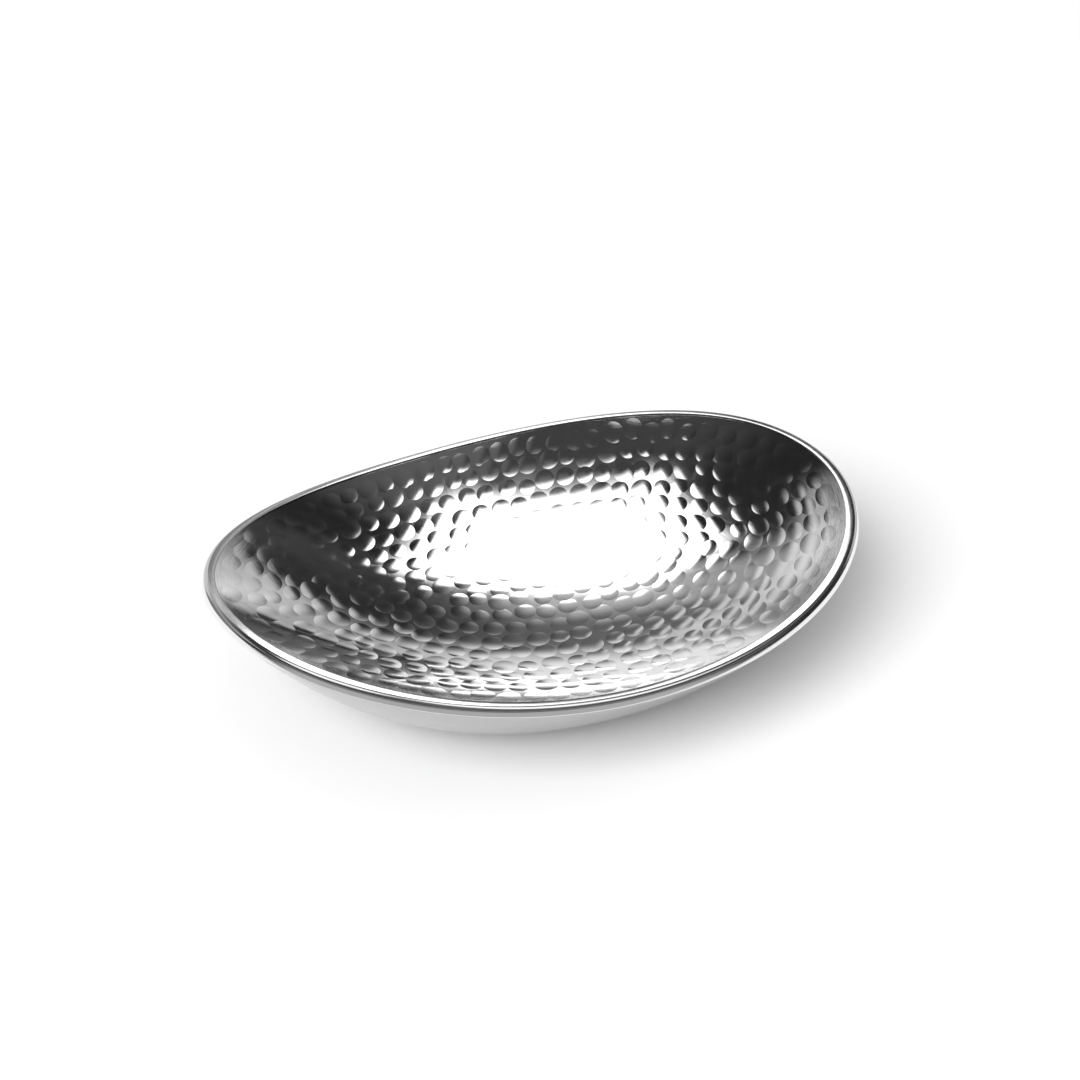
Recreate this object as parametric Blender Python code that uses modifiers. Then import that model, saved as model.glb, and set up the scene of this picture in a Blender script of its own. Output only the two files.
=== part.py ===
"""Hammered metal tray: an oval, boat-rimmed serving tray with a double wall.

A hammered liner and a smooth outer shell are closed together at the top by a rim rail,
and a small plug shuts the vent hole of the hollow base. Metres, +Z up, standing on z = 0,
with the long axis on X and the origin under the middle of the tray.
"""
import math
import random

import bmesh
import bpy
from mathutils import Vector
from mathutils.geometry import delaunay_2d_cdt

# Overall form
RIM_LENGTH = 0.280          # over the outside of the rim rail, end to end
RIM_WIDTH = 0.218           # over the outside of the rim rail, side to side
OVAL_POWER = 2.08           # 2 is an ellipse, more is squarer
RIM_HEIGHT = 0.047          # mean height of the rail's inner edge above the table
END_LIFT = 0.015            # how much higher the rim is at the ends than at the sides

# Sheet and joints
SHEET = 0.0009              # thickness of the liner and of the outer shell
SEAM_GAP = 0.0003           # solder gap between pieces that seat on each other

# Rim rail, a T in section: a flat-topped head over both sheets and a tongue between them
RAIL_WIDTH = 0.0055
RAIL_SKIRT = 0.0032         # from the inner edge down to the underside of the head
RAIL_CROWN = 0.00010        # height of the crown above the inner edge
RAIL_ROUND = 0.0024         # radius of the outer shoulder
RAIL_LEAN = 22.0            # degrees that the outer face leans inward going up
RAIL_LOWER_ROUND = 0.00025  # radius of the lower outer edge
RAIL_INNER_FACE = 0.0005    # height of the small face above the liner
RAIL_TONGUE = 0.0005        # how far the tongue reaches below the head

# Liner
BOWL_DEPTH = 0.026          # from the mean inner edge down to the middle of the bowl
BOWL_CURVE = 2.05           # exponent of the bowl's section
LINER_FLANGE = 0.00125      # turned-out edge under the rail
PLAIN_BORDER = 0.0018       # smooth strip between the rail and the hammer marks
DENT_ROW = 0.0118           # spacing of the rows of hammer marks, measured on the mean radius
DENT_PITCH = 0.0095         # spacing of the marks along a row
DENT_DEPTH = 0.00050
DENT_WANDER = 0.0016        # how far a mark strays from its place in the row
DENT_CENTRE_X = -0.005      # where the rows close in, a little off the middle of the bowl
DENT_CENTRE_Y = -0.028
DENT_SHIFT = 0.618          # each row starts this share of a pitch further round
DENT_SEED = 11

# Outer shell
BASE_LENGTH = 0.139         # flat foot of the shell
BASE_WIDTH = 0.108
SHELL_CURVE = 1.72          # exponent of the shell's section
SHELL_OVERHANG = 0.0008     # how far the rail stands out beyond the shell
FOOT_LAND = 0.014           # width of the flat ring that the tray stands on
FOOT_RAMP = 0.004           # run of the step inside the foot ring
FOOT_RISE = 0.0020          # how far the middle of the base is pressed up

# Vent plug
VENT_DIAMETER = 0.0050
PLUG_HEAD_DIAMETER = 0.0100
PLUG_HEAD_HEIGHT = 0.0011
PLUG_SHANK_LENGTH = 0.0024  # above the head
PLUG_CHAMFER = 0.0003

# Facets
AROUND = 96                 # points round every oval
WALL_RINGS = 8              # rings up the wall of the shell
ROUND_STEPS = 6             # points on the rail's outer shoulder
PLUG_STEPS = 32

SEAT_DROP = RAIL_INNER_FACE + SEAM_GAP      # liner's edge below the rail's inner edge
SHELL_UPSTAND = RAIL_TONGUE                 # upright edge of the shell, beside the tongue
INNER_LENGTH = RIM_LENGTH - 2 * RAIL_WIDTH
INNER_WIDTH = RIM_WIDTH - 2 * RAIL_WIDTH


def clear_scene():
    for old in list(bpy.data.objects):
        bpy.data.objects.remove(old, do_unlink=True)


def new_collection(name):
    collection = bpy.data.collections.new(name)
    bpy.context.scene.collection.children.link(collection)
    return collection


def polished_steel(name, shade, roughness):
    material = bpy.data.materials.new(name)
    material.use_nodes = True
    shader = material.node_tree.nodes["Principled BSDF"]
    shader.inputs["Base Color"].default_value = (shade, shade, shade, 1.0)
    shader.inputs["Metallic"].default_value = 1.0
    shader.inputs["Roughness"].default_value = roughness
    return material


def oval_point(length, width, angle):
    power = 2.0 / OVAL_POWER
    c = math.cos(angle)
    s = math.sin(angle)
    x = 0.5 * length * math.copysign(abs(c) ** power, c)
    y = 0.5 * width * math.copysign(abs(s) ** power, s)
    return Vector((x, y))


def oval_normal(length, width, angle):
    point = oval_point(length, width, angle)
    half_x = 0.5 * length
    half_y = 0.5 * width
    slope_x = math.copysign(abs(point.x / half_x) ** (OVAL_POWER - 1.0), point.x) / half_x
    slope_y = math.copysign(abs(point.y / half_y) ** (OVAL_POWER - 1.0), point.y) / half_y
    return Vector((slope_x, slope_y)).normalized()


def rim_point(angle, outward):
    # plan position of a point beside the rail's inner edge
    edge = oval_point(INNER_LENGTH, INNER_WIDTH, angle)
    return edge + outward * oval_normal(INNER_LENGTH, INNER_WIDTH, angle)


def rim_height(angle):
    along = oval_point(INNER_LENGTH, INNER_WIDTH, angle).x / (0.5 * INNER_LENGTH)
    return RIM_HEIGHT + END_LIFT * (along * along - 0.5)


def around_angles():
    return [2.0 * math.pi * step / AROUND for step in range(AROUND)]


def add_object(name, mesh, material, collection):
    obj = bpy.data.objects.new(name, mesh)
    mesh.materials.append(material)
    collection.objects.link(obj)
    return obj


def add_sheet_thickness(obj, side):
    # side -1 thickens behind the faces, 1 in front of them
    solidify = obj.modifiers.new("Sheet", "SOLIDIFY")
    solidify.thickness = SHEET
    solidify.offset = side
    solidify.use_even_offset = True


def shade_round(mesh, sharp_angle):
    mesh.shade_smooth()
    mesh.set_sharp_from_angle(angle=math.radians(sharp_angle))


def bowl_height(share, angle):
    floor = RIM_HEIGHT - BOWL_DEPTH
    edge = rim_height(angle) - SEAT_DROP
    return floor + (edge - floor) * share ** BOWL_CURVE


def bowl_place(plan):
    # share of the way out to the rail and oval angle of a plan point
    half_x = 0.5 * INNER_LENGTH
    half_y = 0.5 * INNER_WIDTH
    across = abs(plan.x / half_x)
    along = abs(plan.y / half_y)
    share = (across ** OVAL_POWER + along ** OVAL_POWER) ** (1.0 / OVAL_POWER)
    if share < 1e-9:
        return 0.0, 0.0
    c = math.copysign((across / share) ** (0.5 * OVAL_POWER), plan.x)
    s = math.copysign((along / share) ** (0.5 * OVAL_POWER), plan.y)
    return share, math.atan2(s, c)


def even_ring(share, centre, count, phase):
    # points at even spacing along one oval ring of the bowl, share 0 at the centre and 1 at the rail
    fine = [centre.lerp(rim_point(2.0 * math.pi * k / 720, 0.0), share) for k in range(721)]
    lengths = [0.0]
    for before, after in zip(fine, fine[1:]):
        lengths.append(lengths[-1] + (after - before).length)
    points = []
    at = 0
    for k in range(count):
        target = lengths[-1] * ((k + phase) % count) / count
        if target < lengths[at]:
            at = 0
        while lengths[at + 1] < target:
            at += 1
        part = (target - lengths[at]) / (lengths[at + 1] - lengths[at])
        points.append(fine[at].lerp(fine[at + 1], part))
    return points


def ring_length(share):
    ring = [share * rim_point(angle, 0.0) for angle in around_angles()]
    return sum((ring[k] - ring[k - 1]).length for k in range(len(ring)))


def hammer_marks():
    # rows of marks follow the rim and close in on the place where the hammering began
    chance = random.Random(DENT_SEED)
    centre = Vector((DENT_CENTRE_X, DENT_CENTRE_Y))
    mean_radius = 0.25 * (INNER_LENGTH + INNER_WIDTH)
    rows = round((mean_radius - PLAIN_BORDER) / DENT_ROW)
    marks = []
    for row in range(rows):
        share = 1.0 - (PLAIN_BORDER + (row + 0.5) * DENT_ROW) / mean_radius
        count = max(3, round(ring_length(share) / DENT_PITCH))
        for point in even_ring(share, centre, count, DENT_SHIFT * row % 1.0):
            stray = Vector((chance.uniform(-1, 1), chance.uniform(-1, 1)))
            marks.append(point + DENT_WANDER * stray)
    return marks


def build_hammered_liner(collection):
    marks = hammer_marks()
    mean_radius = 0.25 * (INNER_LENGTH + INNER_WIDTH)
    fence_share = 1.0 - PLAIN_BORDER / mean_radius
    edge = [rim_point(angle, 0.0) for angle in around_angles()]
    fence = even_ring(fence_share, Vector((0.0, 0.0)), AROUND, 0.5)
    plan, _, faces, sources, _, _ = delaunay_2d_cdt(marks + fence + edge, [], [], 0, 1e-7)

    bm = bmesh.new()
    is_mark = bm.verts.layers.int.new("mark")
    is_edge = bm.verts.layers.int.new("edge")
    for point, source in zip(plan, sources):
        vert = bm.verts.new((point.x, point.y, 0.0))
        vert[is_mark] = int(source[0] < len(marks))
        vert[is_edge] = int(source[0] >= len(marks) + len(fence))
    bm.verts.ensure_lookup_table()
    for face in faces:
        bm.faces.new([bm.verts[k] for k in face])

    # each mark becomes a fan: a ridge point inside every triangle of marks,
    # then the lines that join marks are turned to join ridge points instead
    inner_faces = [f for f in bm.faces if any(v[is_mark] for v in f.verts)]
    lines = [e for e in bm.edges if all(v[is_mark] for v in e.verts)]
    bmesh.ops.poke(bm, faces=inner_faces)
    bmesh.ops.rotate_edges(bm, edges=lines, use_ccw=False)

    for vert in bm.verts:
        share, angle = bowl_place(vert.co.xy)
        vert.co.z = bowl_height(share, angle)
        if vert[is_mark]:
            vert.co.z -= DENT_DEPTH

    # turned-out flange that lies under the head of the rail
    border = [e for e in bm.edges if e.is_boundary]
    flange = bmesh.ops.extrude_edge_only(bm, edges=border)["geom"]
    for vert in [g for g in flange if isinstance(g, bmesh.types.BMVert)]:
        _, angle = bowl_place(vert.co.xy)
        vert.co.xy = rim_point(angle, LINER_FLANGE)

    bmesh.ops.recalc_face_normals(bm, faces=bm.faces)
    if sum(f.normal.z for f in bm.faces) < 0.0:
        bmesh.ops.reverse_faces(bm, faces=bm.faces)
    mesh = bpy.data.meshes.new("hammered_liner")
    bm.to_mesh(mesh)
    bm.free()
    shade_round(mesh, 40)
    liner = add_object("hammered_liner", mesh, polished_steel("liner_steel", 0.72, 0.12), collection)
    add_sheet_thickness(liner, -1)
    return liner


def loft_rings(rings):
    # open surface through closed rings of equal count, capped at the last ring
    bm = bmesh.new()
    loops = [[bm.verts.new(point) for point in ring] for ring in rings]
    for upper, lower in zip(loops, loops[1:]):
        for k in range(len(upper)):
            bm.faces.new((upper[k - 1], lower[k - 1], lower[k], upper[k]))
    bm.faces.new(loops[-1])
    bmesh.ops.recalc_face_normals(bm, faces=bm.faces)
    return bm


def shell_rings():
    top_out = RAIL_WIDTH - SHELL_OVERHANG
    top_drop = RAIL_SKIRT + SEAM_GAP
    angles = around_angles()
    rings = [[rim_point(a, top_out).to_3d() + Vector((0, 0, rim_height(a) - top_drop)) for a in angles]]
    for step in range(WALL_RINGS + 1):
        share = 1.0 - step / WALL_RINGS
        ring = []
        for a in angles:
            foot = oval_point(BASE_LENGTH, BASE_WIDTH, a)
            plan = foot.lerp(rim_point(a, top_out), share)
            height = (rim_height(a) - top_drop - SHELL_UPSTAND) * share ** SHELL_CURVE
            ring.append(Vector((plan.x, plan.y, height)))
        rings.append(ring)
    for inset, height in ((FOOT_LAND, 0.0), (FOOT_LAND + FOOT_RAMP, FOOT_RISE)):
        foot = [oval_point(BASE_LENGTH - 2 * inset, BASE_WIDTH - 2 * inset, a) for a in angles]
        rings.append([Vector((p.x, p.y, height)) for p in foot])
    return rings


def build_outer_shell(collection, cutters):
    bm = loft_rings(shell_rings())
    mesh = bpy.data.meshes.new("outer_shell")
    bm.to_mesh(mesh)
    bm.free()
    shade_round(mesh, 35)
    shell = add_object("outer_shell", mesh, polished_steel("shell_steel", 0.70, 0.18), collection)
    add_sheet_thickness(shell, -1)

    bpy.ops.mesh.primitive_cylinder_add(vertices=PLUG_STEPS, radius=0.5 * VENT_DIAMETER, depth=6 * SHEET,
                                        location=(0, 0, FOOT_RISE + 0.5 * SHEET))
    drill = bpy.context.object
    drill.name = "vent_drill"
    drill.hide_render = True
    drill.display_type = "WIRE"
    for home in list(drill.users_collection):
        home.objects.unlink(drill)
    cutters.objects.link(drill)
    vent = shell.modifiers.new("Vent", "BOOLEAN")
    vent.operation = "DIFFERENCE"
    vent.solver = "EXACT"
    vent.object = drill
    return shell


def rail_section():
    # from the inner face, over the crown and down the leaning outside, then back under the head
    tongue_in = LINER_FLANGE + SEAM_GAP
    tongue_out = RAIL_WIDTH - SHELL_OVERHANG - SHEET - SEAM_GAP
    tongue_foot = -RAIL_SKIRT - RAIL_TONGUE
    lean = math.radians(RAIL_LEAN)
    sweep = 0.5 * math.pi - lean
    # the leaning face runs into the shoulder and the lower round without a kink
    face_top = RAIL_CROWN - RAIL_ROUND * (1.0 - math.cos(sweep))
    face_foot = -RAIL_SKIRT + RAIL_LOWER_ROUND * (1.0 + math.cos(sweep))
    face_out = RAIL_WIDTH - RAIL_LOWER_ROUND * (1.0 - math.sin(sweep))
    crest = face_out - (face_top - face_foot) * math.tan(lean) - RAIL_ROUND * math.sin(sweep)
    section = [(0.0, -RAIL_INNER_FACE), (0.0, 0.0)]
    section.append((0.5 * crest, 0.75 * RAIL_CROWN))
    for step in range(ROUND_STEPS + 1):
        turn = sweep * step / ROUND_STEPS
        out = crest + RAIL_ROUND * math.sin(turn)
        up = RAIL_CROWN - RAIL_ROUND * (1.0 - math.cos(turn))
        section.append((out, up))
    section.append((face_out, face_foot))
    section.append((RAIL_WIDTH, -RAIL_SKIRT + RAIL_LOWER_ROUND))
    section.append((RAIL_WIDTH - RAIL_LOWER_ROUND, -RAIL_SKIRT))
    section.append((tongue_out, -RAIL_SKIRT))
    section.append((tongue_out, tongue_foot))
    section.append((tongue_in, tongue_foot))
    section.append((tongue_in, -RAIL_INNER_FACE))
    return section


def closed_poly_curve(name, points, dimensions):
    curve = bpy.data.curves.new(name, "CURVE")
    curve.dimensions = dimensions
    spline = curve.splines.new("POLY")
    spline.points.add(len(points) - 1)
    for slot, point in zip(spline.points, points):
        slot.co = (*point, 1.0)
    spline.use_cyclic_u = True
    return curve


def build_rim_rail(collection, cutters):
    section_points = [(out, up, 0.0) for out, up in rail_section()]
    section = bpy.data.objects.new("rail_section", closed_poly_curve("rail_section", section_points, "2D"))
    section.hide_render = True
    section.display_type = "WIRE"
    cutters.objects.link(section)

    path_points = []
    for angle in around_angles():
        edge = rim_point(angle, 0.0)
        path_points.append((edge.x, edge.y, rim_height(angle)))
    path = closed_poly_curve("rim_rail", path_points, "3D")
    path.twist_mode = "Z_UP"
    path.bevel_mode = "OBJECT"
    path.bevel_object = section
    rail = bpy.data.objects.new("rim_rail", path)
    path.materials.append(polished_steel("rail_steel", 0.74, 0.10))
    collection.objects.link(rail)
    return rail


def build_vent_plug(collection):
    head_top = FOOT_RISE - SEAM_GAP
    head_radius = 0.5 * PLUG_HEAD_DIAMETER
    shank_radius = 0.5 * VENT_DIAMETER - SEAM_GAP
    shank_top = head_top + PLUG_SHANK_LENGTH
    head_foot = head_top - PLUG_HEAD_HEIGHT
    profile = [
        (0.0, shank_top),
        (shank_radius - PLUG_CHAMFER, shank_top),
        (shank_radius, shank_top - PLUG_CHAMFER),
        (shank_radius, head_top),
        (head_radius, head_top),
        (head_radius, head_foot + PLUG_CHAMFER),
        (head_radius - PLUG_CHAMFER, head_foot),
        (0.0, head_foot),
    ]
    mesh = bpy.data.meshes.new("vent_plug")
    mesh.from_pydata([(r, 0.0, z) for r, z in profile], [(k, k + 1) for k in range(len(profile) - 1)], [])
    plug = add_object("vent_plug", mesh, polished_steel("plug_steel", 0.55, 0.35), collection)
    turn = plug.modifiers.new("Turned", "SCREW")
    turn.steps = PLUG_STEPS
    turn.render_steps = PLUG_STEPS
    turn.use_merge_vertices = True
    turn.merge_threshold = 0.00001
    return plug


def main():
    clear_scene()
    tray = new_collection("hammered_tray")
    cutters = new_collection("cutters")
    build_hammered_liner(tray)
    build_outer_shell(tray, cutters)
    build_rim_rail(tray, cutters)
    build_vent_plug(tray)


main()
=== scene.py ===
import math
import random

import bmesh
import bpy
import numpy as np
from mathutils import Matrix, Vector
from mathutils.geometry import delaunay_2d_cdt


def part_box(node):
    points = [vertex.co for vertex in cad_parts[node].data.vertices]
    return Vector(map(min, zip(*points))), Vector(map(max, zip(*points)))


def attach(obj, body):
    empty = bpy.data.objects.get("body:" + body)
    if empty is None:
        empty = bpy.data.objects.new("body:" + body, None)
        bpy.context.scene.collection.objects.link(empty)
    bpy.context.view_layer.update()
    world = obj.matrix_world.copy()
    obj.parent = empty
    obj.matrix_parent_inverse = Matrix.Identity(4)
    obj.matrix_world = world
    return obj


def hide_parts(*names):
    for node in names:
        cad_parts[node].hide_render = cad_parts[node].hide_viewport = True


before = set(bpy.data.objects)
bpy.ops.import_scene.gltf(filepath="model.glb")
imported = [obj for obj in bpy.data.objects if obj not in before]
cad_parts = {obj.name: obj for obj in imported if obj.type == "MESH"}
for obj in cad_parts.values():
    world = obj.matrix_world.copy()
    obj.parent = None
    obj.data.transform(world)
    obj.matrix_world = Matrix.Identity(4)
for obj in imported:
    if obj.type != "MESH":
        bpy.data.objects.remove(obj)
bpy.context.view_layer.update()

print("frame loaded:", ", ".join(sorted(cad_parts)))

# the whole tray, metres
tray = {
    "ovalPower": 2.08,       # 2 is an ellipse, more is squarer
    "sheet": 0.0009,         # thickness of both skins
    "seamGap": 0.0003,       # solder gap between pieces
    "aroundSteps": 384,      # points round every oval
}

# rim rail, offsets from its inner edge
rail = {
    "width": 0.0055,
    "skirt": 0.0032,         # inner edge down to the underside of the head
    "tongue": 0.0005,        # reaches down between the two skins
    "innerFace": 0.0005,
    "innerRound": 0.00022,
    "innerSteps": 4,
    "crown": 0.00010,
    "crownPower": 3,         # rises fastest at the inner edge
    "crownSteps": 8,
    "shoulder": 0.0024,      # radius of the outer shoulder
    "shoulderSteps": 12,
    "lean": 22.0,            # degrees that the outer face leans in
    "lowerRound": 0.00025,
    "lowerSteps": 6,
    "sharpAngle": 40.0,
    "look": {"shade": 0.82, "roughLow": 0.11, "roughHigh": 0.16, "polishScale": 60.0,
             "lineAround": 420.0, "lineAcross": 30.0, "lineDepth": 0.00001},
}

# sizes that come from the frame
railLow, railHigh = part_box("rim_rail")
halfX = railHigh.x - rail["width"]
halfY = railHigh.y - rail["width"]
meanRadius = 0.5 * (halfX + halfY)
endHeight = railHigh.z - rail["crown"]
sideHeight = railLow.z + rail["skirt"] + rail["tongue"]
meanHeight = 0.5 * (endHeight + sideHeight)
endLift = endHeight - sideHeight
seatDrop = rail["innerFace"] + tray["seamGap"]       # rail's edge down to the bowl's edge
aroundAngles = 2.0 * math.pi * np.arange(tray["aroundSteps"]) / tray["aroundSteps"]
print("rim", round(2 * railHigh.x, 4), "x", round(2 * railHigh.y, 4))


def ovalPlan(angles, sizeX, sizeY):
    power = 2.0 / tray["ovalPower"]
    c = np.cos(angles)
    s = np.sin(angles)
    return np.stack([sizeX * np.sign(c) * np.abs(c) ** power, sizeY * np.sign(s) * np.abs(s) ** power], -1)


def rimPlan(angles, outward):
    edge = ovalPlan(angles, halfX, halfY)
    size = np.array([halfX, halfY])
    slope = np.sign(edge) * np.abs(edge / size) ** (tray["ovalPower"] - 1.0) / size
    return edge + outward * slope / np.linalg.norm(slope, axis=-1, keepdims=True)


def rimHeights(angles):
    along = ovalPlan(angles, 1.0, 1.0)[..., 0]
    return meanHeight + endLift * (along ** 2 - 0.5)


def addObject(name, mesh, material, nodeName):
    obj = bpy.data.objects.new(name, mesh)
    mesh.materials.append(material)
    bpy.context.scene.collection.objects.link(obj)
    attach(obj, "root")
    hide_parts(nodeName)
    return obj


def loftRings(name, rings, sharpAngle):
    # rings of equal count joined into a skin that closes on itself
    bm = bmesh.new()
    loops = [[bm.verts.new(p) for p in ring] for ring in rings]
    for first, second in zip(loops, loops[1:] + loops[:1]):
        for k in range(len(first)):
            bm.faces.new((first[k - 1], second[k - 1], second[k], first[k]))
    bmesh.ops.recalc_face_normals(bm, faces=bm.faces)
    mesh = bpy.data.meshes.new(name)
    bm.to_mesh(mesh)
    bm.free()
    mesh.shade_smooth()
    mesh.set_sharp_from_angle(angle=math.radians(sharpAngle))
    return mesh


def nodeSet(material):
    material.use_nodes = True
    nodes = material.node_tree.nodes
    return nodes, material.node_tree.links, nodes["Principled BSDF"]


def ovalCoordinates(nodes, links, coords):
    # share of the way to the rail, and the direction round the oval
    parts = nodes.new("ShaderNodeSeparateXYZ")
    links.new(coords.outputs["Object"], parts.inputs[0])
    scaled = nodes.new("ShaderNodeCombineXYZ")
    for axis, size in ((0, halfX), (1, halfY)):
        divide = nodes.new("ShaderNodeMath")
        divide.operation = "DIVIDE"
        divide.inputs[1].default_value = size
        links.new(parts.outputs[axis], divide.inputs[0])
        links.new(divide.outputs[0], scaled.inputs[axis])
    length = nodes.new("ShaderNodeVectorMath")
    length.operation = "LENGTH"
    links.new(scaled.outputs[0], length.inputs[0])
    way = nodes.new("ShaderNodeVectorMath")
    way.operation = "NORMALIZE"
    links.new(scaled.outputs[0], way.inputs[0])
    return length.outputs["Value"], way.outputs["Vector"]


def unevenPolish(nodes, links, coords, look):
    polish = nodes.new("ShaderNodeTexNoise")
    polish.inputs["Scale"].default_value = look["polishScale"]
    polish.inputs["Detail"].default_value = 4.0
    links.new(coords.outputs["Object"], polish.inputs["Vector"])
    spread = nodes.new("ShaderNodeMapRange")
    spread.inputs["From Min"].default_value = 0.35
    spread.inputs["From Max"].default_value = 0.70
    spread.inputs["To Min"].default_value = look["roughLow"]
    spread.inputs["To Max"].default_value = look["roughHigh"]
    links.new(polish.outputs["Fac"], spread.inputs["Value"])
    return spread.outputs[0]


def polishLines(nodes, links, coords, look):
    # fine lines round the oval or across it
    share, way = ovalCoordinates(nodes, links, coords)
    lines = nodes.new("ShaderNodeVectorMath")
    lines.operation = "SCALE"
    lines.inputs["Scale"].default_value = look["lineAround"]
    links.new(way, lines.inputs[0])
    outward = nodes.new("ShaderNodeMath")
    outward.operation = "MULTIPLY"
    outward.inputs[1].default_value = look["lineAcross"]
    links.new(share, outward.inputs[0])
    joined = nodes.new("ShaderNodeCombineXYZ")
    lineParts = nodes.new("ShaderNodeSeparateXYZ")
    links.new(lines.outputs[0], lineParts.inputs[0])
    links.new(lineParts.outputs[0], joined.inputs[0])
    links.new(lineParts.outputs[1], joined.inputs[1])
    links.new(outward.outputs[0], joined.inputs[2])
    streaks = nodes.new("ShaderNodeTexNoise")
    streaks.inputs["Scale"].default_value = 1.0
    streaks.inputs["Detail"].default_value = 3.0
    links.new(joined.outputs[0], streaks.inputs["Vector"])
    bump = nodes.new("ShaderNodeBump")
    bump.inputs["Distance"].default_value = look["lineDepth"]
    links.new(streaks.outputs["Fac"], bump.inputs["Height"])
    if "lineFrom" in look:
        # the lines show only in the strip beside the rail
        strip = nodes.new("ShaderNodeMapRange")
        strip.inputs["From Min"].default_value = look["lineFrom"]
        strip.inputs["From Max"].default_value = 1.0
        links.new(share, strip.inputs["Value"])
        links.new(strip.outputs[0], bump.inputs["Strength"])
    return bump


def wheelScratches(nodes, links, coords, look):
    # fine scratches of the polishing wheel, all one way
    slope = nodes.new("ShaderNodeMapping")
    slope.inputs["Rotation"].default_value = (0.0, 0.0, math.radians(look["grainTurn"]))
    slope.inputs["Scale"].default_value = (1.0, look["grainStretch"], 1.0)
    links.new(coords.outputs["Object"], slope.inputs["Vector"])
    grain = nodes.new("ShaderNodeTexNoise")
    grain.inputs["Scale"].default_value = look["grainScale"]
    grain.inputs["Detail"].default_value = 5.0
    links.new(slope.outputs[0], grain.inputs["Vector"])
    bump = nodes.new("ShaderNodeBump")
    bump.inputs["Distance"].default_value = look["grainDepth"]
    links.new(grain.outputs["Fac"], bump.inputs["Height"])
    return bump


def steel(name, look):
    material = bpy.data.materials.new(name)
    nodes, links, shader = nodeSet(material)
    shader.inputs["Base Color"].default_value = (look["shade"], look["shade"], look["shade"], 1.0)
    shader.inputs["Metallic"].default_value = 1.0
    coords = nodes.new("ShaderNodeTexCoord")
    links.new(unevenPolish(nodes, links, coords, look), shader.inputs["Roughness"])
    lines = polishLines(nodes, links, coords, look)
    links.new(lines.outputs[0], shader.inputs["Normal"])
    if "grainScale" in look:
        links.new(wheelScratches(nodes, links, coords, look).outputs[0], lines.inputs["Normal"])
    return material


def arcPoints(out, up, radius, start, end, steps):
    # angles from straight up, turning outward
    turns = [start + (end - start) * step / steps for step in range(steps + 1)]
    return [(out + radius * math.sin(turn), up + radius * math.cos(turn)) for turn in turns]


def railSection():
    # inner face, crown, outer shoulder, leaning face, then back round the tongue
    tongueIn = bowl["flange"] + tray["seamGap"]
    tongueOut = rail["width"] - shell["overhang"] - tray["sheet"] - tray["seamGap"]
    foot = -rail["skirt"] - rail["tongue"]
    small = rail["innerRound"]
    large = rail["shoulder"]
    low = rail["lowerRound"]
    lean = math.radians(rail["lean"])
    sweep = 0.5 * math.pi - lean
    faceTop = rail["crown"] - large * (1.0 - math.cos(sweep))
    faceFoot = -rail["skirt"] + low * (1.0 + math.cos(sweep))
    faceOut = rail["width"] - low * (1.0 - math.sin(sweep))
    crest = faceOut - (faceTop - faceFoot) * math.tan(lean) - large * math.sin(sweep)
    section = [(0.0, -rail["innerFace"])]
    section += arcPoints(small, -small, small, -0.5 * math.pi, 0.0, rail["innerSteps"])
    for step in range(1, rail["crownSteps"]):
        part = step / rail["crownSteps"]
        up = rail["crown"] * (1.0 - (1.0 - part) ** rail["crownPower"])
        section.append((small + (crest - small) * part, up))
    section += arcPoints(crest, rail["crown"] - large, large, 0.0, sweep, rail["shoulderSteps"])
    section += arcPoints(rail["width"] - low, -rail["skirt"] + low, low, sweep, math.pi, rail["lowerSteps"])
    section.append((tongueOut, -rail["skirt"]))
    section.append((tongueOut, foot))
    section.append((tongueIn, foot))
    section.append((tongueIn, -rail["innerFace"]))
    return section


def buildRail():
    heights = rimHeights(aroundAngles)
    rings = []
    for out, up in railSection():
        plan = rimPlan(aroundAngles, out)
        rings.append(np.column_stack([plan, heights + up]).tolist())
    mesh = loftRings("rimRail", rings, rail["sharpAngle"])
    print("rail faces", len(mesh.polygons))
    material = steel("railSteel", rail["look"])
    return addObject("rimRail", mesh, material, "rim_rail")


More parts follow.
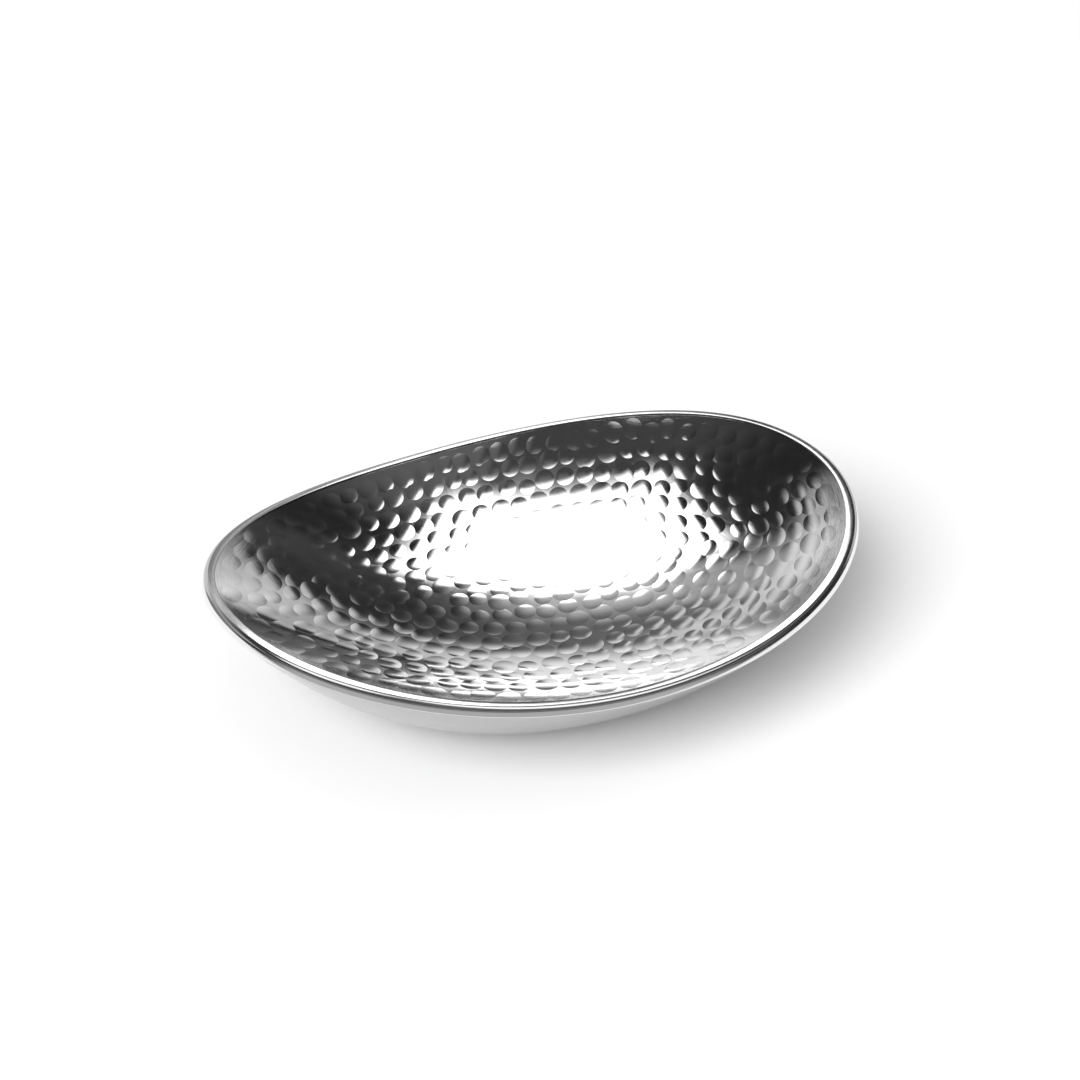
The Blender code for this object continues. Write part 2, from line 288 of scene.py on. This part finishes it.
# hammered bowl
bowl = {
    "curve": 2.05,           # exponent of the section
    "flange": 0.00125,
    "cadDent": 0.0005,       # dent depth in the CAD liner
    "underRings": 14,
    "fillStep": 0.0028,      # grid of points on the plain metal
    "fillClear": 0.25,       # kept off the marks by this share of their depth
    "edgeClear": 0.0003,
    "sharpAngle": 50.0,
    "look": {"shade": 0.80, "roughLow": 0.05, "roughHigh": 0.11, "polishScale": 90.0,
             "lineAround": 9.0, "lineAcross": 520.0, "lineDepth": 0.00002, "lineFrom": 0.90,
             "grainScale": 500.0, "grainStretch": 0.25, "grainTurn": 30.0, "grainDepth": 0.000008},
}
dents = {
    "border": 0.0020,        # plain strip inside the rail
    "row": 0.0072,           # spacing of the rows
    "mostRows": 100,
    "pitch": 0.0089,         # spacing along a row
    "shift": 0.618,          # each row starts this share of a pitch further round
    "stretch": 1.65,         # the hammer's face is longer one way, and so is the spacing
    "stretchWay": 56.0,      # that way, degrees from the long axis
    "halfAlong": 0.0043,     # half size of a mark along its row and across it
    "halfAcross": 0.0035,
    "depth": 0.00015,
    "bottomDepth": 0.65,     # lighter blows in the middle of the bowl
    "bottomShare": (0.3, 0.7),   # full depth is reached between these shares of the way to the rail
    "farDepth": 1.4,         # beside the rail on the far side and on the near side
    "nearDepth": 0.6,
    "railShare": (0.8, 1.0),
    "endDepth": 0.4,         # at both ends
    "endReach": (0.055, 0.100),  # metres from the middle
    "turnSpread": 12.0,      # degrees
    "wander": 0.0010,
    "sizeSpread": 0.14,
    "depthSpread": 0.25,
    "edgeSteps": 1440,       # points on the line of a row
    "outlineSteps": 48,
    "rings": ((1.0, 1), (0.86, 2), (0.62, 4), (0.32, 8)),    # size, and every how many points
    "neighbours": 2.4,       # marks this many lengths away may overlap
    "seed": 11,
}
batch = 4000                 # plan points worked out at once
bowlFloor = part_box("hammered_liner")[0].z + tray["sheet"] + bowl["cadDent"]
print("bowl floor", round(bowlFloor, 4))


def bowlShare(plan):
    # 0 in the middle of the bowl, 1 at the rail
    n = tray["ovalPower"]
    return (np.abs(plan[..., 0] / halfX) ** n + np.abs(plan[..., 1] / halfY) ** n) ** (1.0 / n)


def bowlHeight(plan):
    share = bowlShare(plan)
    along = plan[..., 0] / halfX / np.maximum(share, 1e-9)
    edge = meanHeight + endLift * (along ** 2 - 0.5) - seatDrop
    return bowlFloor + (edge - bowlFloor) * share ** bowl["curve"]


def hammerSpace():
    # plan into a space where the marks and their spacing are even
    way = math.radians(dents["stretchWay"])
    long = np.array([math.cos(way), math.sin(way)])
    wide = np.array([math.sin(way), -math.cos(way)])
    return np.stack([wide, long / dents["stretch"]])


def rowLine(edge, offset):
    # the line this far inside a closed edge, without the loops at its ends
    ahead = np.roll(edge, -1, axis=0) - np.roll(edge, 1, axis=0)
    inward = np.stack([-ahead[:, 1], ahead[:, 0]], -1) / np.linalg.norm(ahead, axis=1, keepdims=True)
    if np.sum(inward * edge) > 0.0:
        inward = -inward
    line = edge + offset * inward
    nearest = np.array([np.min(np.sum((edge - p) ** 2, axis=1)) for p in line]) ** 0.5
    return line[nearest > offset - 0.00005]


def blowDepth(plan, spot):
    # share of the full depth, by place in the bowl and in the hammer's space
    beside = dents["farDepth"] if spot[1] > 0.0 else dents["nearDepth"]
    shares = dents["bottomShare"] + dents["railShare"]
    blow = np.interp(bowlShare(plan), shares, (dents["bottomDepth"], 1.0, 1.0, beside))
    return blow * np.interp(abs(spot[0]), dents["endReach"], (1.0, dents["endDepth"]))


def hammerMarks():
    # each mark: place, two rows of the matrix that makes its outline a unit circle, depth
    places = random.Random(dents["seed"])
    shapes = random.Random(dents["seed"] + 1)
    space = hammerSpace()
    back = np.linalg.inv(space)
    edge = rimPlan(np.linspace(0.0, 2.0 * math.pi, dents["edgeSteps"] + 1)[:-1], 0.0) @ space.T
    marks = []
    for row in range(dents["mostRows"]):
        line = rowLine(edge, dents["border"] + (row + 0.5) * dents["row"])
        if len(line) < 3:
            break
        line = np.concatenate([line, line[:1]])
        lengths = np.concatenate([[0.0], np.cumsum(np.linalg.norm(np.diff(line, axis=0), axis=1))])
        count = max(1, round(lengths[-1] / dents["pitch"]))
        pitch = lengths[-1] / count
        for k in range(count):
            at = np.searchsorted(lengths, pitch * (k + dents["shift"] * row % 1.0))
            at = min(max(at, 1), len(line) - 2)
            ahead = line[at + 1] - line[at - 1]
            way = math.atan2(ahead[1], ahead[0]) + math.radians(dents["turnSpread"] * shapes.uniform(-1, 1))
            spot = line[at] + dents["wander"] * np.array([places.uniform(-1, 1), places.uniform(-1, 1)])
            size = 1.0 + dents["sizeSpread"] * shapes.uniform(-1, 1)
            turn = np.array([[math.cos(way), math.sin(way)], [math.sin(way), -math.cos(way)]])
            turn /= size * np.array([[dents["halfAlong"]], [dents["halfAcross"]]])
            plan = back @ spot
            depth = blowDepth(plan, spot) * dents["depth"]
            depth *= 1.0 + dents["depthSpread"] * shapes.uniform(-1, 1)
            marks.append((*plan, *(turn @ space).ravel(), depth))
    return np.array(marks)


def capHeights(marks, plan):
    # height of each mark's cap over each plan point: below 0 inside its outline
    away = plan[..., None, :] - marks[:, 0:2]
    along = away[..., 0] * marks[:, 2] + away[..., 1] * marks[:, 3]
    across = away[..., 0] * marks[:, 4] + away[..., 1] * marks[:, 5]
    return marks[:, 6] * (along ** 2 + across ** 2 - 1.0)


def lastMark(marks, plan):
    # depth under the smooth bowl, and the last mark struck there, -1 on plain metal
    depths = np.zeros(len(plan))
    owners = np.full(len(plan), -1)
    for start in range(0, len(plan), batch):
        caps = capHeights(marks, plan[start:start + batch])
        inside = caps < 0.0
        last = len(marks) - 1 - inside[:, ::-1].argmax(axis=1)
        depths[start:start + batch] = np.minimum(caps.min(axis=1), 0.0)
        owners[start:start + batch] = np.where(inside.any(axis=1), last, -1)
    return depths, owners


def markPoints(marks):
    # outline of every mark where no later mark covers it, and rings inside it
    steps = dents["outlineSteps"]
    turns = 2.0 * math.pi * np.arange(steps) / steps
    circle = np.stack([np.cos(turns), np.sin(turns)], -1)
    reach = dents["neighbours"] * dents["stretch"] * dents["halfAlong"]
    spots = []
    for k, mark in enumerate(marks):
        near = np.linalg.norm(marks[:, 0:2] - mark[0:2], axis=1) < reach
        near[:k + 1] = False
        rays = circle @ np.linalg.inv(mark[2:6].reshape(2, 2)).T
        ring = [mark[None, 0:2]]
        for size, skip in dents["rings"]:
            ring.append(mark[0:2] + size * rays[::skip])
        ring = np.concatenate(ring)
        if near.any():
            ring = ring[capHeights(marks[near], ring).min(axis=1) > 0.0]
        spots.append(ring)
    return np.concatenate(spots)


def bowlPoints(marks):
    # the marks, then a grid on the plain metal between them, then the edge under the rail
    step = bowl["fillStep"]
    gridX, gridY = np.meshgrid(np.arange(-halfX, halfX, step), np.arange(-halfY, halfY, step))
    fill = np.stack([gridX.ravel(), gridY.ravel()], -1)
    fill[:, 0] += 0.5 * step * (np.round(fill[:, 1] / step) % 2)
    fill = fill[bowlShare(fill) < 1.0 - 0.4 * step / meanRadius]
    caps = [capHeights(marks, fill[k:k + batch]).min(axis=1) for k in range(0, len(fill), batch)]
    fill = fill[np.concatenate(caps) > bowl["fillClear"] * marks[:, 6].mean()]
    inner = np.concatenate([markPoints(marks), fill])
    inner = inner[bowlShare(inner) < 1.0 - bowl["edgeClear"] / meanRadius]
    return np.concatenate([inner, rimPlan(aroundAngles, 0.0)])


def addUnderside(bm, deepest):
    # flange under the rail, then the plain underside of the sheet, clear of the deepest mark
    border = [line for line in bm.edges if line.is_boundary]
    loop = bmesh.ops.extrude_edge_only(bm, edges=border)["geom"]
    loop = [part for part in loop if isinstance(part, bmesh.types.BMVert)]
    loop.sort(key=lambda v: math.atan2(v.co.y / halfY, v.co.x / halfX))
    power = 0.5 * tray["ovalPower"]
    c = np.array([v.co.x / halfX for v in loop])
    s = np.array([v.co.y / halfY for v in loop])
    angles = np.arctan2(np.sign(s) * np.abs(s) ** power, np.sign(c) * np.abs(c) ** power)
    flange = rimPlan(angles, bowl["flange"])
    for vert, spot in zip(loop, flange):
        vert.co.xy = spot
    underEdge = rimHeights(angles) - seatDrop - tray["sheet"]
    rings = [loop, [bm.verts.new((x, y, z)) for (x, y), z in zip(flange, underEdge)]]
    for ring in range(bowl["underRings"]):
        under = (1.0 - ring / bowl["underRings"]) * rimPlan(angles, 0.0)
        low = bowlHeight(under) - tray["sheet"] - (deepest if ring else 0.0)
        rings.append([bm.verts.new((x, y, z)) for (x, y), z in zip(under, low)])
    for outer, inner in zip(rings, rings[1:]):
        for k in range(len(loop)):
            bm.faces.new((outer[k - 1], outer[k], inner[k], inner[k - 1])).smooth = True
    middle = bm.verts.new((0.0, 0.0, rings[-1][0].co.z))
    for k in range(len(loop)):
        bm.faces.new((rings[-1][k - 1], rings[-1][k], middle)).smooth = True


def bowlSlopes(marks, plan, owners):
    # slope of the surface at each plan point, in the mark that owns it
    tiny = 1e-6
    slopes = []
    for axis in (0, 1):
        ahead = plan.copy()
        ahead[:, axis] += tiny
        behind = plan.copy()
        behind[:, axis] -= tiny
        slopes.append((bowlHeight(ahead) - bowlHeight(behind)) / (2.0 * tiny))
    slopes = np.stack(slopes, -1)
    inside = owners >= 0
    mine = marks[owners[inside]]
    away = plan[inside] - mine[:, 0:2]
    along = away[:, 0] * mine[:, 2] + away[:, 1] * mine[:, 3]
    across = away[:, 0] * mine[:, 4] + away[:, 1] * mine[:, 5]
    slopes[inside] += 2.0 * mine[:, 6:7] * (along[:, None] * mine[:, 2:4] + across[:, None] * mine[:, 4:6])
    return slopes


def shadeMarks(mesh, marks, owners):
    # exact shading across each mark, with a crisp lip where two marks meet; the top's triangles come first
    count = 3 * len(owners)
    spots = np.zeros(3 * len(mesh.vertices))
    mesh.vertices.foreach_get("co", spots)
    corners = np.zeros(len(mesh.loops), int)
    mesh.loops.foreach_get("vertex_index", corners)
    slopes = bowlSlopes(marks, spots.reshape(-1, 3)[corners[:count], :2], np.repeat(owners, 3))
    normals = np.zeros((len(mesh.loops), 3))
    normals[:count] = np.column_stack([-slopes, np.ones(count)])
    normals[:count] /= np.linalg.norm(normals[:count], axis=1, keepdims=True)
    mesh.normals_split_custom_set(normals.tolist())


def buildBowl():
    marks = hammerMarks()
    flat, _, faces, _, _, _ = delaunay_2d_cdt([Vector(p) for p in bowlPoints(marks)], [], [], 0, 1e-6)
    flat = np.array([(p.x, p.y) for p in flat])
    depths, _ = lastMark(marks, flat)
    _, owners = lastMark(marks, np.array([flat[list(f)].mean(axis=0) for f in faces]))
    print("hammer marks", len(marks), "bowl points", len(flat), "faces", len(faces))

    bm = bmesh.new()
    top = [bm.verts.new((x, y, z)) for (x, y), z in zip(flat, bowlHeight(flat) + depths)]
    ownerOf = bm.faces.layers.int.new("owner")
    for face, owner in zip(faces, owners):
        bm.faces.new([top[k] for k in face])[ownerOf] = int(owner) + 1
    bm.normal_update()
    for face in bm.faces:
        face.smooth = True
        if face.normal.z < 0.0:
            face.normal_flip()
    for line in bm.edges:
        if len(line.link_faces) == 2:
            line.smooth = line.link_faces[0][ownerOf] == line.link_faces[1][ownerOf]
    addUnderside(bm, marks[:, 6].max())
    bmesh.ops.recalc_face_normals(bm, faces=bm.faces)
    for line in bm.edges:
        if len(line.link_faces) == 2 and line.calc_face_angle() > math.radians(bowl["sharpAngle"]):
            line.smooth = False
    mesh = bpy.data.meshes.new("hammeredBowl")
    bm.to_mesh(mesh)
    bm.free()
    shadeMarks(mesh, marks, owners)
    material = steel("hammeredSteel", bowl["look"])
    return addObject("hammeredBowl", mesh, material, "hammered_liner")


# smooth outer shell
shell = {
    "baseLength": 0.139,
    "baseWidth": 0.108,
    "curve": 1.72,
    "overhang": 0.0008,      # rail stands out beyond the shell by this
    "upstand": 0.0005,       # upright edge under the rail
    "footLand": 0.014,
    "footRamp": 0.004,
    "footRise": 0.0020,
    "ventRadius": 0.0025,
    "wallRings": 30,
    "sharpAngle": 35.0,
    "look": {"shade": 0.46, "roughLow": 0.14, "roughHigh": 0.24, "polishScale": 40.0,
             "lineAround": 12.0, "lineAcross": 400.0, "lineDepth": 0.00001},
}


def buildShell():
    topOut = rail["width"] - shell["overhang"]
    topDrop = rail["skirt"] + tray["seamGap"]
    heights = rimHeights(aroundAngles)
    baseX = 0.5 * shell["baseLength"]
    baseY = 0.5 * shell["baseWidth"]

    def wallRing(share, inset):
        foot = ovalPlan(aroundAngles, baseX - inset, baseY - inset)
        plan = foot + share * (rimPlan(aroundAngles, topOut - inset) - foot)
        lift = (heights - topDrop - shell["upstand"]) * share ** shell["curve"]
        return np.column_stack([plan, lift])

    def flatRing(inset, height):
        plan = ovalPlan(aroundAngles, baseX - inset, baseY - inset)
        return np.column_stack([plan, np.full(len(plan), height)])

    def topRing(inset):
        return np.column_stack([rimPlan(aroundAngles, topOut - inset), heights - topDrop])

    def circle(radius, height):
        plan = radius * np.stack([np.cos(aroundAngles), np.sin(aroundAngles)], -1)
        return np.column_stack([plan, np.full(len(plan), height)])

    land = shell["footLand"]
    ramp = shell["footLand"] + shell["footRamp"]
    rise = shell["footRise"]
    vent = shell["ventRadius"]
    thick = tray["sheet"]
    rings = [topRing(0.0)]
    rings += [wallRing(1.0 - k / shell["wallRings"], 0.0) for k in range(shell["wallRings"] + 1)]
    rings += [flatRing(land, 0.0), flatRing(ramp, rise), circle(3 * vent, rise), circle(vent, rise)]
    # inside of the sheet, back up to the rail: lifted at the foot, moved inward higher up
    up = np.array([0.0, 0.0, thick])
    rings += [circle(vent, rise + thick), circle(3 * vent, rise + thick)]
    rings += [flatRing(ramp + 0.2 * thick, rise) + up, flatRing(land + 0.2 * thick, 0.0) + up]
    for k in range(shell["wallRings"], -1, -2):
        share = 1.0 - k / shell["wallRings"]
        lean = 1.0 - 0.35 * share
        rings.append(wallRing(share, thick * (1.0 - 0.3 * lean)) + up * lean * (1.0 - share ** 6))
    rings.append(topRing(thick))
    mesh = loftRings("outerShell", [r.tolist() for r in rings], shell["sharpAngle"])
    print("shell faces", len(mesh.polygons))
    material = steel("shellSteel", shell["look"])
    return addObject("outerShell", mesh, material, "outer_shell")


# vent plug, the CAD solid with its own finish
plug = {
    "look": {"shade": 0.60, "roughLow": 0.25, "roughHigh": 0.40, "polishScale": 200.0,
             "lineAround": 20.0, "lineAcross": 500.0, "lineDepth": 0.00001},
}


def finishPlug():
    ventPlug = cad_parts["vent_plug"]
    ventPlug.data.materials.clear()
    ventPlug.data.materials.append(steel("plugSteel", plug["look"]))


buildBowl()
buildRail()
buildShell()
finishPlug()
print("pieces made")

# camera, read from the rim's outline in the picture
shot = {
    "turn": -34.0,           # degrees round from the tray's long side
    "rise": 29.2,
    "distance": 0.6725,
    "slideRight": 0.00054,
    "slideUp": 0.00202,
    "lens": 54.98,
}
turn = math.radians(shot["turn"])
lookDown = math.radians(shot["rise"])
rightward = Vector((math.cos(turn), math.sin(turn), 0.0))
forward = Vector((-math.sin(turn), math.cos(turn), 0.0))
backward = -forward * math.cos(lookDown) + Vector((0.0, 0.0, math.sin(lookDown)))
upward = backward.cross(rightward)
cameraData = bpy.data.cameras.new("camera")
cameraData.lens = shot["lens"]
cameraData.sensor_width = 36.0
cameraData.clip_start = 0.01
camera = bpy.data.objects.new("camera", cameraData)
camera.location = (Vector((0.0, 0.0, meanHeight)) + shot["distance"] * backward
                   - shot["slideRight"] * rightward - shot["slideUp"] * upward)
camera.rotation_euler = (-backward).to_track_quat("-Z", "Y").to_euler()
bpy.context.scene.collection.objects.link(camera)
bpy.context.scene.camera = camera


def studioWay(side, rise):
    # sides are degrees right of the camera's line, rises are degrees above the table
    side = math.radians(side)
    rise = math.radians(rise)
    flat = forward * math.cos(side) + rightward * math.sin(side)
    return flat * math.cos(rise) + Vector((0.0, 0.0, math.sin(rise)))


# key light on the table, not mirrored by the metal
key = {"side": -143.0, "rise": 35.0, "soft": 45.0, "level": 3.3}
keyLight = bpy.data.lights.new("key", "SUN")
keyLight.energy = key["level"]
keyLight.angle = math.radians(key["soft"])
keyLamp = bpy.data.objects.new("key", keyLight)
keyLamp.rotation_euler = studioWay(key["side"], key["rise"]).to_track_quat("Z", "Y").to_euler()
keyLamp.visible_glossy = False
bpy.context.scene.collection.objects.link(keyLamp)

# the table ends a little in front of the tray
table = {"shade": 0.95, "back": 1.0, "front": 0.42, "side": 2.0}
corners = []
for across, ahead in ((-1, -table["front"]), (1, -table["front"]), (1, table["back"]), (-1, table["back"])):
    corners.append(rightward * table["side"] * across + forward * ahead)
floorMesh = bpy.data.meshes.new("floor")
floorMesh.from_pydata(corners, [], [(0, 1, 2, 3)])
floor = bpy.data.objects.new("floor", floorMesh)
bpy.context.scene.collection.objects.link(floor)
floorPaint = bpy.data.materials.new("floorPaint")
_, _, paint = nodeSet(floorPaint)
paint.inputs["Base Color"].default_value = (table["shade"], table["shade"], table["shade"], 1.0)
paint.inputs["Roughness"].default_value = 1.0
paint.inputs["Specular IOR Level"].default_value = 0.0
floor.data.materials.append(floorPaint)

# world: white to the camera, an even fill for the table, and the studio that the metal mirrors
world = bpy.data.worlds.new("studio")
bpy.context.scene.world = world
world.use_nodes = True
worldNodes = world.node_tree.nodes
worldLinks = world.node_tree.links


def feed(socket, value):
    if isinstance(value, (int, float)):
        socket.default_value = value
    else:
        worldLinks.new(value, socket)


def calc(operation, first, second=0.0):
    node = worldNodes.new("ShaderNodeMath")
    node.operation = operation
    feed(node.inputs[0], first)
    feed(node.inputs[1], second)
    return node.outputs[0]


def plus(first, *others):
    for other in others:
        first = calc("ADD", first, other)
    return first


def less(first, second):
    return calc("SUBTRACT", first, second)


def times(first, *others):
    for other in others:
        first = calc("MULTIPLY", first, other)
    return first


def ease(value, span, start=0.0, end=1.0):
    # goes smoothly from start to end while the value crosses the span
    node = worldNodes.new("ShaderNodeMapRange")
    node.interpolation_type = "SMOOTHSTEP"
    feed(node.inputs["Value"], value)
    node.inputs["From Min"].default_value = span[0]
    node.inputs["From Max"].default_value = span[1]
    node.inputs["To Min"].default_value = start
    node.inputs["To Max"].default_value = end
    return node.outputs[0]


def fade(value, span, level=1.0):
    return ease(value, span, level, 0.0)


def softEdge(value, soft):
    return value - soft, value + soft


def band(value, span, soft):
    return times(ease(value, softEdge(span[0], soft)), fade(value, softEdge(span[1], soft)))


def partAlong(axis):
    node = worldNodes.new("ShaderNodeVectorMath")
    node.operation = "DOT_PRODUCT"
    node.inputs[1].default_value = axis
    worldLinks.new(ray, node.inputs[0])
    return node.outputs["Value"]


ray = worldNodes.new("ShaderNodeTexCoord").outputs["Generated"]
side = times(calc("ARCTAN2", partAlong(rightward), partAlong(forward)), 180.0 / math.pi)
rise = times(calc("ARCSINE", partAlong((0.0, 0.0, 1.0))), 180.0 / math.pi)

# lamp box behind the tray, the white pool in the bowl
lampBox = {
    "level": 2.4,
    "foot": 30.2,
    "footSlope": -0.75,      # climbs at the left end
    "footStart": 26.7,
    "top": (50.0, 56.5),
    "topSlope": 0.1,         # lower on the right
    "left": -14.5,           # both ends lean outward going up
    "leftLean": 0.26,
    "leftRise": 40.0,
    "right": 8.4,
    "rightLean": 0.11,
    "rightRise": 30.0,
    "soft": 1.4,
}


def lampBoxLight():
    soft = lampBox["soft"]
    foot = calc("MAXIMUM", plus(times(side, lampBox["footSlope"]), lampBox["footStart"]), lampBox["foot"])
    topLine = plus(rise, times(side, lampBox["topSlope"]))
    leftLine = plus(side, times(less(rise, lampBox["leftRise"]), lampBox["leftLean"]))
    rightLine = less(side, times(less(rise, lampBox["rightRise"]), lampBox["rightLean"]))
    upright = times(ease(less(rise, foot), (-soft, soft)), fade(topLine, lampBox["top"]))
    leftEnd = ease(leftLine, softEdge(lampBox["left"], soft))
    rightEnd = fade(rightLine, softEdge(lampBox["right"], soft))
    return times(upright, leftEnd, rightEnd, lampBox["level"])


# grey wall under the lamp box, dimmer to both sides and toward the table
greyWall = {
    "level": 0.33,
    "rightLevel": 0.02,
    "rightSides": (-1.0, 6.0),
    "leftShare": 0.55,
    "leftSides": (-14.0, -4.0),
    "climb": (20.0, 29.0),
    "climbShares": (0.35, 1.5),
    "top": (30.0, 36.0),
}


def greyWallLight():
    across = ease(side, greyWall["rightSides"], greyWall["level"], greyWall["rightLevel"])
    across = times(across, ease(side, greyWall["leftSides"], greyWall["leftShare"], 1.0))
    upright = times(ease(rise, greyWall["climb"], *greyWall["climbShares"]), fade(rise, greyWall["top"]))
    return times(across, upright)


# pale panel on the left with a bright slanting edge, and a plain part close to the table
leftPanel = {
    "level": 0.58,
    "edgeSlope": -1.25,
    "edgeStart": 10.3,
    "under": (-2.0, 0.0),
    "underShare": 0.22,
    "over": (1.0, 4.0),
    "top": (38.0, 44.0),
    "sides": (-80.0, -2.8),
    "soft": 1.3,
    "lowLevel": 0.60,
    "lowSides": (-45.0, -13.8),
    "lowSoft": 1.0,
    "lowTop": (22.0, 25.0),
}


def leftPanelLight():
    climb = less(rise, plus(times(side, leftPanel["edgeSlope"]), leftPanel["edgeStart"]))
    high = ease(climb, leftPanel["under"], leftPanel["underShare"], 1.0)
    high = times(high, fade(climb, leftPanel["over"], leftPanel["level"]), fade(rise, leftPanel["top"]))
    high = times(high, band(side, leftPanel["sides"], leftPanel["soft"]))
    low = fade(rise, leftPanel["lowTop"], leftPanel["lowLevel"])
    return calc("MAXIMUM", high, times(low, band(side, leftPanel["lowSides"], leftPanel["lowSoft"])))


# pale panel low on the right, its top climbing to the right
rightPanel = {
    "level": 0.55,
    "sides": (5.8, 60.0),
    "soft": 1.3,
    "topSlope": 1.1,
    "topStart": 8.4,
    "highest": 26.0,
    "topSoft": 1.5,
}


def rightPanelLight():
    topLine = plus(times(side, rightPanel["topSlope"]), rightPanel["topStart"])
    overTop = less(rise, calc("MINIMUM", topLine, rightPanel["highest"]))
    upright = fade(overTop, softEdge(0.0, rightPanel["topSoft"]), rightPanel["level"])
    return times(upright, band(side, rightPanel["sides"], rightPanel["soft"]))


# glow along the table, weaker on the right, and dark lines low on the right
tableGlow = {
    "level": 0.80,
    "top": (7.0, 16.0),
    "leftSides": (-6.5, -3.0),
    "rightSides": (0.0, 5.0),
    "rightShare": 0.5,
    "gapSides": (0.0, 2.0),
    "gap": (4.2, 6.6),
    "gapSoft": 0.6,
    "gapLow": (3.6, 4.8),
    "gapLowShare": 0.84,
}


def tableGlowLight():
    across = ease(side, tableGlow["rightSides"], 1.0, tableGlow["rightShare"])
    across = times(across, ease(side, tableGlow["leftSides"]))
    return times(across, fade(rise, tableGlow["top"], tableGlow["level"]))


def tableGapShare():
    upright = plus(band(rise, tableGlow["gap"], tableGlow["gapSoft"]),
                   fade(rise, tableGlow["gapLow"], tableGlow["gapLowShare"]))
    return times(upright, ease(side, tableGlow["gapSides"]))


# dim light above the lamp box
ceiling = {
    "level": 0.036,
    "rises": (46.0, 60.0),
    "rightLevel": 0.07,
    "rightSides": (3.0, 13.0),
    "rightRises": (38.0, 50.0),
    "hazeLevel": 0.22,
    "hazeFoot": (44.0, 50.0),
    "hazeTop": (52.0, 63.0),
    "hazeSides": (-9.0, 4.0),
    "hazeSoft": 3.0,
}


def ceilingLight():
    right = ease(side, ceiling["rightSides"], 0.0, ceiling["rightLevel"])
    right = times(right, ease(rise, ceiling["rightRises"]))
    haze = times(fade(rise, ceiling["hazeTop"], ceiling["hazeLevel"]), ease(rise, ceiling["hazeFoot"]))
    haze = times(haze, band(side, ceiling["hazeSides"], ceiling["hazeSoft"]))
    return plus(ease(rise, ceiling["rises"], 0.0, ceiling["level"]), right, haze)


# round lamps overhead, and behind the camera a glow along the table and a narrow ring of light
backRoom = {
    "lamps": ((70.0, 71.0), (-85.0, 72.0)),
    "lampLevel": 1.1,
    "lampRadii": (19.0, 14.0),
    "glowLevel": 0.45,
    "glowLeast": 0.04,
    "glowTop": (8.0, 24.0),
    "glowSides": (95.0, 125.0),
    "ringLevel": 0.35,
    "ring": (28.0, 33.0),
    "ringSoft": 2.0,
    "ringRight": (80.0, 92.0),
    "ringLeft": (-80.0, -62.0),
}


def backRoomLight():
    reach = [math.cos(math.radians(radius)) for radius in backRoom["lampRadii"]]
    lamps = []
    for lampSide, lampRise in backRoom["lamps"]:
        lamps.append(ease(partAlong(studioWay(lampSide, lampRise)), reach, 0.0, backRoom["lampLevel"]))
    glow = ease(rise, backRoom["glowTop"], backRoom["glowLevel"], backRoom["glowLeast"])
    glow = times(glow, ease(calc("ABSOLUTE", side), backRoom["glowSides"]))
    ring = plus(ease(side, backRoom["ringRight"]), fade(side, backRoom["ringLeft"]))
    ring = times(ring, band(rise, backRoom["ring"], backRoom["ringSoft"]), backRoom["ringLevel"])
    return plus(glow, ring, *lamps)


studio = {
    "fill": 0.55,            # on the table
    "dark": 0.020,           # least light that the metal mirrors
    "roomSides": (-90.0, 60.0),
    "roomSoft": 12.0,
}
room = plus(greyWallLight(), tableGlowLight(), leftPanelLight(), rightPanelLight())
room = times(room, less(1.0, tableGapShare()), band(side, studio["roomSides"], studio["roomSoft"]))
mirrored = worldNodes["Background"]
level = plus(room, lampBoxLight(), ceilingLight(), backRoomLight(), studio["dark"])
worldLinks.new(level, mirrored.inputs["Strength"])
fillShade = worldNodes.new("ShaderNodeBackground")
fillShade.inputs["Strength"].default_value = studio["fill"]
white = worldNodes.new("ShaderNodeBackground")
for shade in (mirrored, fillShade, white):
    shade.inputs["Color"].default_value = (1.0, 1.0, 1.0, 1.0)
lightPath = worldNodes.new("ShaderNodeLightPath")
glossy = worldNodes.new("ShaderNodeMixShader")
worldLinks.new(lightPath.outputs["Is Glossy Ray"], glossy.inputs[0])
worldLinks.new(fillShade.outputs[0], glossy.inputs[1])
worldLinks.new(mirrored.outputs[0], glossy.inputs[2])
seen = worldNodes.new("ShaderNodeMixShader")
worldLinks.new(lightPath.outputs["Is Camera Ray"], seen.inputs[0])
worldLinks.new(glossy.outputs[0], seen.inputs[1])
worldLinks.new(white.outputs[0], seen.inputs[2])
worldLinks.new(seen.outputs[0], worldNodes["World Output"].inputs["Surface"])

bpy.context.scene.view_settings.view_transform = "Standard"
print("studio ready")
